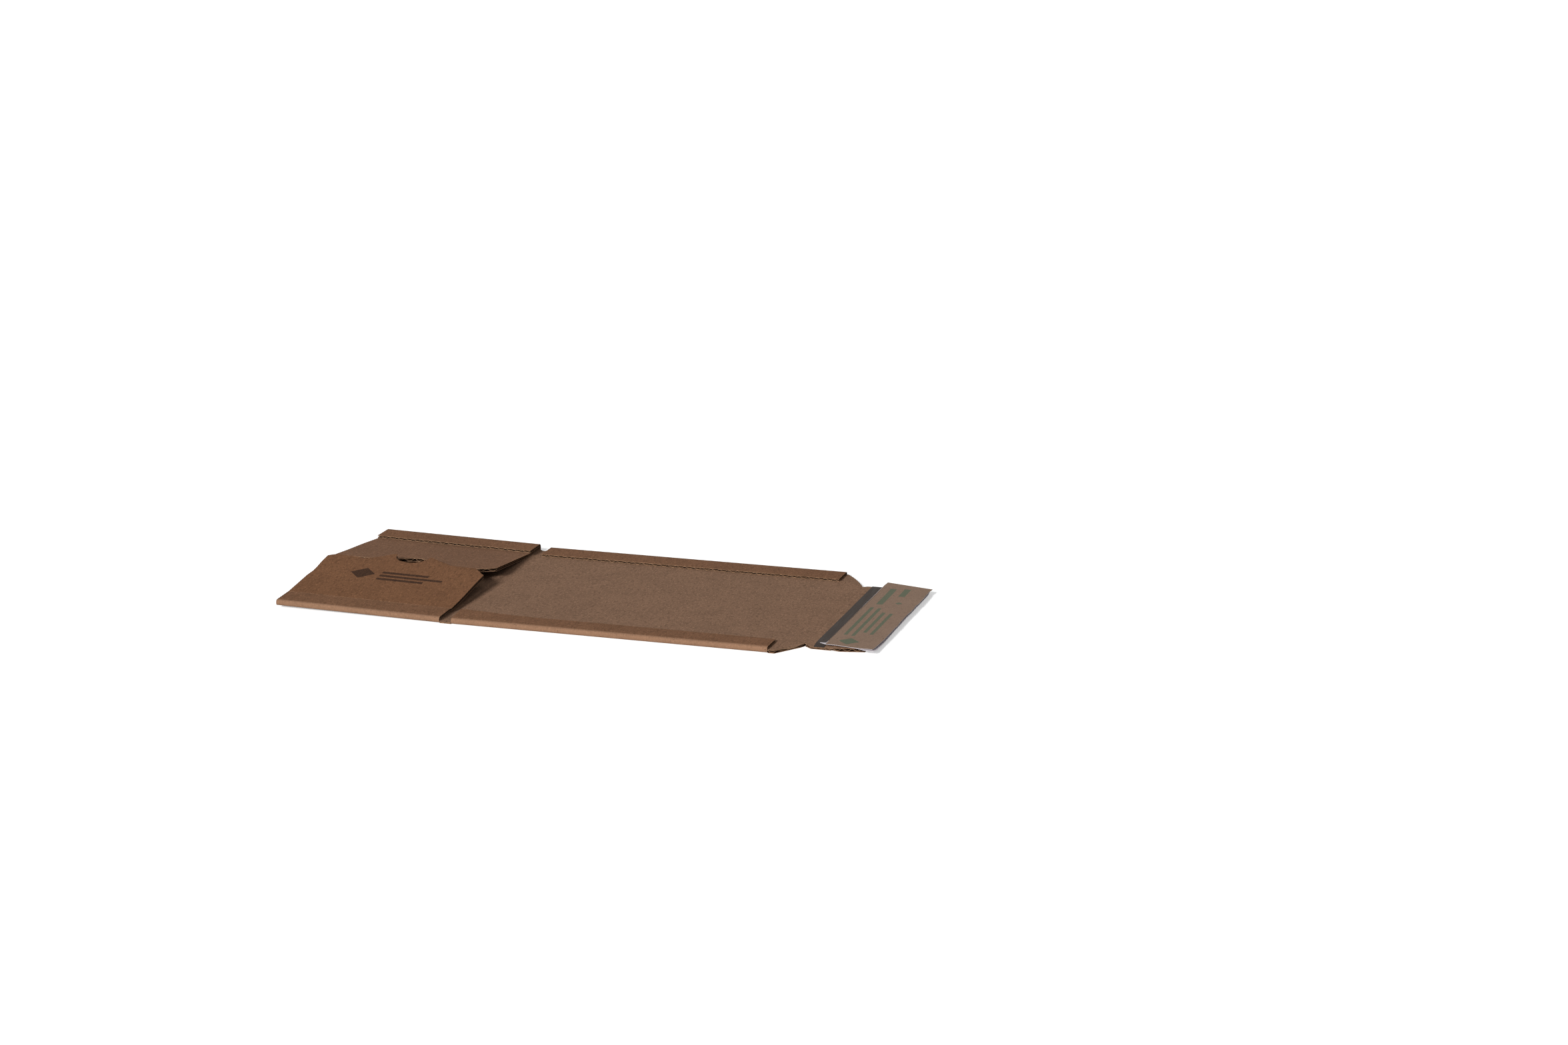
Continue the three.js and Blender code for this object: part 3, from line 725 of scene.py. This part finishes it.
def wrap_panel():
    start = HINGE_X + CREASE_GAP / 2
    end = FLAP_ROOT_X - CREASE_GAP / 2
    xs = columns(start, end, RAIL_START_X - BARE_COLUMN, RAIL_START_X, RAIL_END_X,
                 RAIL_END_X + BARE_COLUMN, SHOULDER_START_X, end - NOTCH_WIDTH)
    rail = BASE_BOARD + FOLD_SLIT
    near_edge = WRAP_NEAR_RAIL
    far_edge = BOARD_WIDTH - WRAP_FAR_RAIL
    rows = flat_rows((near_edge, near_edge - 0.8, 14.0, 9.0, 5.0), WRAP_STACK, rail)
    rows += fold_rows(WRAP_STACK, False, NEAR_FOLD_POWER)
    base_first = len(rows) - 1
    rows += flat_rows(BASE_ROWS, 0.0, BASE_BOARD)
    rows += fold_rows(WRAP_STACK, True, FAR_FOLD_POWER)
    base_last = len(rows) - 1 - FOLD_STEPS
    rows += flat_rows((181.0, 176.0, 171.0, far_edge + 0.8, far_edge), WRAP_STACK, rail)
    outer, inner = section_grid(rows, xs)
    # Only the base goes on beyond the folded edges, cut to the two shoulders
    bare = (xs < RAIL_START_X - 0.1) | (xs > RAIL_END_X + 0.1)
    low, high = base_edges(xs, end)
    for grid in (outer, inner):
        y = grid[:, base_first:base_last + 1, 1]
        share = (y - y[:, :1]) / (y[:, -1:] - y[:, :1])
        moved = low[:, None] + share * (high - low)[:, None]
        y[bare] = moved[bare]
    # The left end of the near folded edge stands up a little
    lift = WRAP_RAIL_LIFT * (1 - smooth_step(xs, RAIL_START_X, WRAP_RAIL_LIFT_END_X))
    raised = slice(0, STRIP_ROWS + FOLD_STEPS // 2)
    for grid in (outer, inner):
        reach = np.clip((grid[:, raised, 1] - 2.0) / (near_edge - 2.0), 0, 1)
        grid[:, raised, 2] += lift[:, None] * reach
    # The board is pressed flat where it creases, and at its bare edges
    sink_outer = np.zeros(outer.shape[:2])
    sink_inner = np.zeros(outer.shape[:2])
    crush = CREASE_CRUSH * (1 - smooth_step(xs, RAIL_START_X - 3.0, RAIL_START_X + 2.0))
    sink_inner[:, base_first + 1:base_last] += crush[:, None]
    flat_edge = crush + BARE_SINK * (xs < RAIL_START_X)
    for row in (base_first, base_last):
        sink_inner[bare, row] += flat_edge[bare]
    towards_end = smooth_step(xs, RAIL_END_X + 6.0, end - 6.0) * (1 - smooth_step(xs, end - 5.0, end))
    towards_end = towards_end[:, None]
    base_distance = inner[:, base_first:base_last + 1, 1] - low[:, None]
    end_press = END_PRESS * towards_end * (1 - smooth_step(base_distance, 0, 1.5 * END_PRESS_REACH))
    sink_inner[:, base_first:base_last + 1] += end_press
    rib_near_fold(sink_outer, xs, 7, 0.08)
    near_rows = slice(0, STRIP_ROWS)
    far_rows = slice(len(rows) - STRIP_ROWS, len(rows))
    for seed, strip, edge in ((41, near_rows, near_edge), (42, far_rows, far_edge)):
        distance = np.abs(outer[:, strip, 1] - edge)
        sink_outer[:, strip] += edge_press(xs, distance, seed, 0.12, 2.6)
    mask = np.ones((len(xs) - 1, len(rows) - 1), bool)
    middle = (xs[:-1] + xs[1:]) / 2
    beyond = (middle < RAIL_START_X) | (middle > RAIL_END_X)
    mask[np.ix_(beyond, np.r_[0:base_first, base_last:len(rows) - 1])] = False
    corrugated("wrap_panel", outer, inner, mask, "wrap", "wrap_panel", keep_level,
               (sink_outer, sink_inner), NEAR_FOLD_BAND)


# Closing flap

def closing_flap():
    start = FLAP_ROOT_X + CREASE_GAP / 2
    before_step = PULL_EDGE_X - PULL_EDGE_HALF
    after_step = PULL_EDGE_X + PULL_EDGE_HALF
    xs = columns(start, FLAP_END_X, start + NEAR_ROOT_WIDTH, before_step, after_step)
    low = np.interp(
        xs, [start, start + NEAR_ROOT_WIDTH, before_step, after_step, FLAP_END_X],
        [NEAR_NOTCH_INSET, TAPE_END_Y, TAPE_END_Y, CLOSING_NEAR_Y - PULL_EDGE_STEP,
         CLOSING_NEAR_Y + PULL_EDGE_TAPER])
    high = np.interp(
        xs, [start, start + FAR_ROOT_WIDTH, before_step, after_step, FLAP_END_X],
        [BOARD_WIDTH - FAR_SHOULDER_INSET, CLOSING_FAR_Y, CLOSING_FAR_Y,
         CLOSING_FAR_Y + PULL_EDGE_STEP, CLOSING_FAR_Y - PULL_EDGE_TAPER])
    shares = np.linspace(0, 1, 14)[None, :]
    near_rows = np.stack([low, low + 0.5, low + 1.1], 1)
    middle_rows = low[:, None] + 2.0 + (high - low - 4.0)[:, None] * shares
    far_rows = np.stack([high - 1.1, high - 0.5, high], 1)
    y = np.concatenate([near_rows, middle_rows, far_rows], 1)
    outer = np.zeros((*y.shape, 3))
    inner = np.zeros((*y.shape, 3))
    for grid, z in ((outer, 0.0), (inner, FLAP_BOARD)):
        grid[..., 0] = xs[:, None]
        grid[..., 1] = y
        grid[..., 2] = z
    # The board is pressed at its cut edges, at its root and under the tear strip's near end
    from_low = y - low[:, None]
    distance = np.minimum(from_low, high[:, None] - y)
    root = (FLAP_BOARD - BASE_BOARD) * (1 - smooth_step(xs, start, start + 4.0))[:, None]
    sink_inner = edge_press(xs, distance, 52, 0.18) + root
    left_part = (1 - smooth_step(xs, before_step, after_step)) * smooth_step(xs, start, start + 5.0)
    left_part = left_part[:, None]
    sink_inner += END_PRESS * left_part * (1 - smooth_step(from_low, 0, END_PRESS_REACH))
    # The near corner of the step is turned up
    corner = (1 - smooth_step(xs, PULL_EDGE_X, PULL_EDGE_X + 7.0)) * (xs > PULL_EDGE_X - 0.05)
    sink_outer = edge_press(xs, distance, 51, 0.05)
    sink_outer += PULL_CORNER_LIFT * corner[:, None] * (1 - smooth_step(from_low, 0, 4.0))
    mask = np.ones((len(xs) - 1, y.shape[1] - 1), bool)
    corrugated("closing_flap", outer, inner, mask, "closing", "closing_flap", keep_level,
               (sink_outer, sink_inner))


# Paper hinges: the pressed board that carries on through a crease, from one body to the other

def crease_strip(name, start, end, first, last, node, surface, turn):
    samples = 60
    paper = 0.5
    along = np.linspace(0, 1, samples)[:, None, None]
    across = np.linspace(0, 1, 4)[None, :, None]
    line = np.array(start)[None, None, :] * (1 - along) + np.array(end)[None, None, :] * along
    step = np.array(last) - np.array(first)
    upper = turn(line + np.array(first)[None, None, :] + step[None, None, :] * across)
    lower = upper.copy()
    lower[..., 2] -= paper
    piece = sheet_mesh(name, upper, lower, np.ones((samples - 1, 3), bool), surface, surface, surface)
    middle = upper[samples // 2]
    to_row(middle[0]).tolist()
    to_row(middle[-1]).tolist()
    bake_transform(piece)
    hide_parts(node)


# Each strip lies just under the face that it carries on
def crease_strips():
    half = CREASE_GAP / 2
    near_level = NEAR_CREASE_HEIGHT - 0.08
    wrap_level = BASE_BOARD - CREASE_CRUSH - 0.02
    closing_level = BASE_BOARD - 0.05
    crease_strip("near_crease", (0.4, POCKET_STRIP, near_level),
                 (POCKET_LENGTH - 0.1, POCKET_STRIP, near_level),
                 (0, -half, 0), (0, half, 0), "near_flap",
                 OUTER_KRAFT, tilt_pocket)
    crease_strip("wrap_crease", (HINGE_X, 0.6, wrap_level), (HINGE_X, BOARD_WIDTH - 0.6, wrap_level),
                 (-half, 0, 0), (half, 0, 0), "wrap_panel",
                 INNER_KRAFT, keep_level)
    crease_strip("closing_crease", (FLAP_ROOT_X, NEAR_NOTCH_INSET, closing_level),
                 (FLAP_ROOT_X, BOARD_WIDTH - FAR_SHOULDER_INSET, closing_level),
                 (-half, 0, 0), (half, 0, 0), "closing_flap",
                 INNER_KRAFT, keep_level)


# Tear strip, adhesive and release paper

def tape_material():
    surface, tree, shader = new_material("tear_tape")
    place = tree.nodes.new("ShaderNodeTexCoord").outputs["Object"]
    streaks = add_noise(tree, place, 420, 3, 0.6, (1.0, 0.12, 1.0))
    clouds = add_noise(tree, place, 70, 3, 0.5)
    streaky = add_range(tree, streaks, 0.35, 0.7, 0, 1)
    shade = add_mix(tree, streaky, scaled(TAPE_TONE, 0.9), scaled(TAPE_TONE, 1.14))
    cloudy = add_range(tree, clouds, 0.4, 0.7, 0, 0.4)
    shade = add_mix(tree, cloudy, shade, scaled(TAPE_TONE, 1.2))
    tree.links.new(shade, shader.inputs["Base Color"])
    tree.links.new(add_range(tree, streaks, 0.3, 0.7, 0.5, 0.62), shader.inputs["Roughness"])
    shader.inputs["Specular IOR Level"].default_value = 0.05
    add_bump(tree, shader, streaks, 0.3, 0.00008)
    return surface


def plain_paper(name, colour, roughness):
    surface, tree, shader = new_material(name)
    place = tree.nodes.new("ShaderNodeTexCoord").outputs["Object"]
    clouds = add_noise(tree, place, 60, 3, 0.5)
    grain = add_noise(tree, place, 1700, 2, 0.6)
    cloudy = add_range(tree, clouds, 0.3, 0.7, 0, 1)
    shade = add_mix(tree, cloudy, scaled(colour, 0.96), scaled(colour, 1.03))
    grainy = add_range(tree, grain, 0.5, 0.75, 0, 0.35)
    shade = add_mix(tree, grainy, shade, scaled(colour, 0.88))
    tree.links.new(shade, shader.inputs["Base Color"])
    shader.inputs["Roughness"].default_value = roughness
    shader.inputs["Specular IOR Level"].default_value = 0.2
    return surface


# A tape laid across the flap, pressed down with the board at its near end
def tear_strip():
    ys = np.linspace(TAPE_END_Y + 0.1, CLOSING_FAR_Y - 0.2, 60)
    shares = np.linspace(0, 1, 7)
    middle = TAPE_MIDDLE_X - (ys - 90) / 142 * TAPE_SKEW + uneven(ys, 17, 61, 0.12)
    x = middle[None, :] + (shares[:, None] - 0.5) * TAPE_WIDTH
    press = END_PRESS * (1 - smooth_step(ys - TAPE_END_Y, 0, END_PRESS_REACH))[None, :]
    z = TAPE_TOP - 0.06 + uneven(ys, 4.0, 62, 0.03)[None, :] - press + 0 * x
    upper = np.stack([x, ys[None, :] + 0 * x, z], 2)
    lower = upper.copy()
    lower[..., 2] = TAPE_BOTTOM - press
    surface = tape_material()
    piece = sheet_mesh("tear_strip_tape", upper, lower, np.ones((6, 59), bool), surface, surface, surface)
    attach(piece, "closing")
    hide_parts("tear_strip")


# A bead of hot melt with wavy sides and a soft back
def adhesive_strip():
    ys = np.linspace(CLOSING_NEAR_Y + 5, CLOSING_FAR_Y - 5, 70)
    shares = np.linspace(0, 1, 9)
    left = ADHESIVE_LEFT_X + uneven(ys, 5, 71, 0.25)
    right = ADHESIVE_RIGHT_X + uneven(ys, 5, 72, 0.25)
    x = left[None, :] + shares[:, None] * (right - left)[None, :]
    bulge = np.sin(math.pi * shares)[:, None] ** 0.4
    z = TAPE_BOTTOM + ADHESIVE_EDGE + ADHESIVE_BULGE * bulge + 0 * x
    upper = np.stack([x, ys[None, :] + 0 * x, z], 2)
    lower = upper.copy()
    lower[..., 2] = TAPE_BOTTOM
    surface = plain_paper("hot_melt", from_srgb(205, 190, 160), 0.3)
    piece = sheet_mesh("adhesive_strip_bead", upper, lower, np.ones((8, 69), bool), surface, surface, surface)
    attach(piece, "closing")
    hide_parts("adhesive_strip")


# Both faces of a sheet of paper from the places of its upper one
def paper_faces(x, y, z, thickness):
    upper = np.stack([x, y, z], 2)
    lower = upper.copy()
    lower[..., 2] -= thickness
    return upper, lower


# Upper leaf, torn off unevenly along its right edge. The shares run across it and along it.
def upper_leaf(across, along):
    near = np.interp(across, [0, 0.2, 0.5, 0.75, 1], [18.0, 18.3, 16.2, 15.2, 15.6])
    far = LINER_FAR_Y - 0.1 - LINER_TAPER * across
    y = near + (far - near) * along
    left = LINER_LEFT_X + 0.1 + 0.7 * along
    right = np.interp(along, [0, 0.02, 0.14, 0.3, 0.92, 0.945, 0.955, 1.0],
                      [411.2, 411.8, 412.8, 413.0, 412.9, 412.4, 412.6, 413.35])
    torn = uneven(along * 150, 7, 81, 0.4)
    right = right + torn * smooth_step(along, 0.25, 0.35) * (along < 0.93)
    x = left + (right - left) * across
    droop = smooth_step(x, 403.0, 414.0) * smooth_step(along, 0.02, 0.3)
    droop = droop * (1 - smooth_step(along, 0.86, 0.97))
    z = LINER_TOP_HEIGHT + 0.3 * droop + uneven(along * 150, 23, 83, 0.06) * across
    z = z + 0.5 * (1 - across) * smooth_step(along, 0.8, 1.0)
    return paper_faces(x, y, z, LINER_TOP_PAPER)


# Lower leaf, whose near left corner sticks out from under the upper one
def lower_leaf(across, along):
    tip = 3.6 * (1 - smooth_step(along, 0.0, 0.022))
    left = LINER_LEFT_X - 0.6 - tip
    right = np.interp(along, [0, 0.03, 0.88, 0.93, 0.96, 1.0], [412.6, 413.3, 413.3, 413.4, 412.6, 411.8])
    x = left + (right - left) * across
    near = np.interp(x, [375, 379, 386, 395, 401, 407, 413], [20.4, 19.3, 19.3, 17.8, 16.4, 13.6, 14.0])
    far = LINER_FAR_Y - 0.1 - LINER_TAPER * across
    y = near + (far - 1.2 - near) * along
    curl = 0.55 * (1 - smooth_step(x, 375.0, 381.0)) * (1 - smooth_step(along, 0, 0.08))
    droop = smooth_step(x, 403.0, 414.0) * smooth_step(along, 0.0, 0.05)
    droop = droop * (1 - 0.8 * smooth_step(along, 0.12, 0.4))
    z = LINER_BOTTOM_HEIGHT + curl - 0.9 * droop + uneven(along * 150, 31, 84, 0.05) * across
    return paper_faces(x, y, z, LINER_BOTTOM_PAPER)


# The fold that joins the two leaves along their left side
def leaf_fold():
    ys = np.linspace(27.0, LINER_FAR_Y - 2.4, 50)
    share = (ys - 18) / (LINER_FAR_Y - 19)
    turn = np.linspace(-0.5, 0.5, 7)[:, None] * math.pi
    x = LINER_LEFT_X - 0.5 + 0.6 * share[None, :] * (turn / math.pi + 0.5) + 0.35 * (1 - np.cos(turn))
    z = 3.47 + 0.39 * np.sin(turn) + 0 * x
    outside = np.stack([x, ys[None, :] + 0 * x, z], 2)
    inside = outside.copy()
    inside[..., 0] += LINER_TOP_PAPER * np.cos(turn)
    inside[..., 2] -= LINER_TOP_PAPER * np.sin(turn)
    return outside, inside


def release_liner():
    paper = kraft("release_paper", PAPER_TONE, LINER_PRINT, contrast=0.6, roughness=0.7)
    white = plain_paper("release_white", from_srgb(205, 198, 202), 0.5)
    lengthwise = np.concatenate(
        [[0, 0.006, 0.013, 0.022], np.linspace(0.035, 0.9, 52), np.linspace(0.91, 1, 12)])
    sideways = np.concatenate([np.linspace(0, 0.06, 5), np.linspace(0.1, 1, 22)])
    across, along = np.meshgrid(sideways, lengthwise, indexing="ij")
    leaves = [
        ("release_liner_top", upper_leaf(across, along), (paper, white, white)),
        ("release_liner_bottom", lower_leaf(across, along), (white, white, white)),
        ("release_liner_fold", leaf_fold(), (paper, white, paper)),
    ]
    for name, (face, back), surfaces in leaves:
        cells = np.ones((face.shape[0] - 1, face.shape[1] - 1), bool)
        piece = sheet_mesh(name, face, back, cells, *surfaces)
        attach(piece, "closing")
        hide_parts("release_liner")


pocket_base()
near_flap()
far_flap()
wrap_panel()
closing_flap()
crease_strips()
tear_strip()
adhesive_strip()
release_liner()


# Floor and light

# One for rays that reach the eye directly, by a mirror or through clear material, else zero
def seen_rays(tree):
    path = tree.nodes.new("ShaderNodeLightPath")
    seen = add_math(tree, "MAXIMUM", path.outputs["Is Camera Ray"], path.outputs["Is Glossy Ray"])
    return add_math(tree, "MAXIMUM", seen, path.outputs["Is Transmission Ray"])


# Pale, and white to the camera where nothing shades it
def make_floor():
    far = 40.0
    glow_level = 0.42
    mesh = bpy.data.meshes.new("floor")
    mesh.from_pydata([(-far, -far, 0), (far, -far, 0), (far, far, 0), (-far, far, 0)], [], [(0, 1, 2, 3)])
    floor = bpy.data.objects.new("floor", mesh)
    bpy.context.collection.objects.link(floor)
    surface, tree, shader = new_material("floor_white")
    shader.inputs["Base Color"].default_value = (0.86, 0.86, 0.86, 1)
    shader.inputs["Roughness"].default_value = 0.9
    shader.inputs["Specular IOR Level"].default_value = 0.0
    glow = tree.nodes.new("ShaderNodeEmission")
    glow.inputs["Color"].default_value = (1, 1, 1, 1)
    tree.links.new(add_math(tree, "MULTIPLY", seen_rays(tree), glow_level), glow.inputs["Strength"])
    both = tree.nodes.new("ShaderNodeAddShader")
    tree.links.new(shader.outputs[0], both.inputs[0])
    tree.links.new(glow.outputs[0], both.inputs[1])
    tree.links.new(both.outputs[0], tree.nodes["Material Output"].inputs["Surface"])
    mesh.materials.append(surface)


# White to the camera, and a dimmer even light on the object
def make_world():
    light_level = 0.27
    world = bpy.data.worlds.new("studio")
    bpy.context.scene.world = world
    world.use_nodes = True
    tree = world.node_tree
    background = tree.nodes["Background"]
    background.inputs["Color"].default_value = (1, 1, 1, 1)
    strength = add_range(tree, seen_rays(tree), 0, 1, light_level, 1.0)
    tree.links.new(strength, background.inputs["Strength"])


def make_sun(name, direction, strength, spread):
    lamp = bpy.data.lights.new(name, "SUN")
    lamp.energy = strength
    lamp.angle = math.radians(spread)
    sun = bpy.data.objects.new(name, lamp)
    bpy.context.collection.objects.link(sun)
    sun.rotation_euler = Vector(direction).to_track_quat("-Z", "Y").to_euler()


# The camera stands where the photograph was taken from. Its place is in metres, and the focal
# length and the width of the picture are in the photograph's pixels.
def make_camera():
    yaw = math.radians(-17.035)
    pitch = math.radians(14.918)
    roll = math.radians(0.037)
    place = (0.745466, -2.036850, 0.629344)
    focal_pixels = 4971.9
    picture_pixels = 2352
    sensor = 36.0
    level = np.array([math.sin(yaw), math.cos(yaw), 0.0])
    side = np.array([math.cos(yaw), -math.sin(yaw), 0.0])
    up = np.array([0.0, 0.0, 1.0])
    ahead = math.cos(pitch) * level - math.sin(pitch) * up
    above = math.sin(pitch) * level + math.cos(pitch) * up
    right = math.cos(roll) * side + math.sin(roll) * above
    above = -math.sin(roll) * side + math.cos(roll) * above
    data = bpy.data.cameras.new("camera")
    data.sensor_width = sensor
    data.lens = focal_pixels * sensor / picture_pixels
    data.clip_start = 0.05
    data.clip_end = 200
    camera = bpy.data.objects.new("camera", data)
    bpy.context.collection.objects.link(camera)
    turn = Matrix([[right[k], above[k], -ahead[k]] for k in range(3)])
    camera.matrix_world = Matrix.Translation(place) @ turn.to_4x4()
    bpy.context.scene.camera = camera


make_floor()
make_world()
make_sun("key", (0.19, 0.87, -0.45), 4.2, 14)
make_camera()
bpy.context.scene.view_settings.view_transform = "Standard"
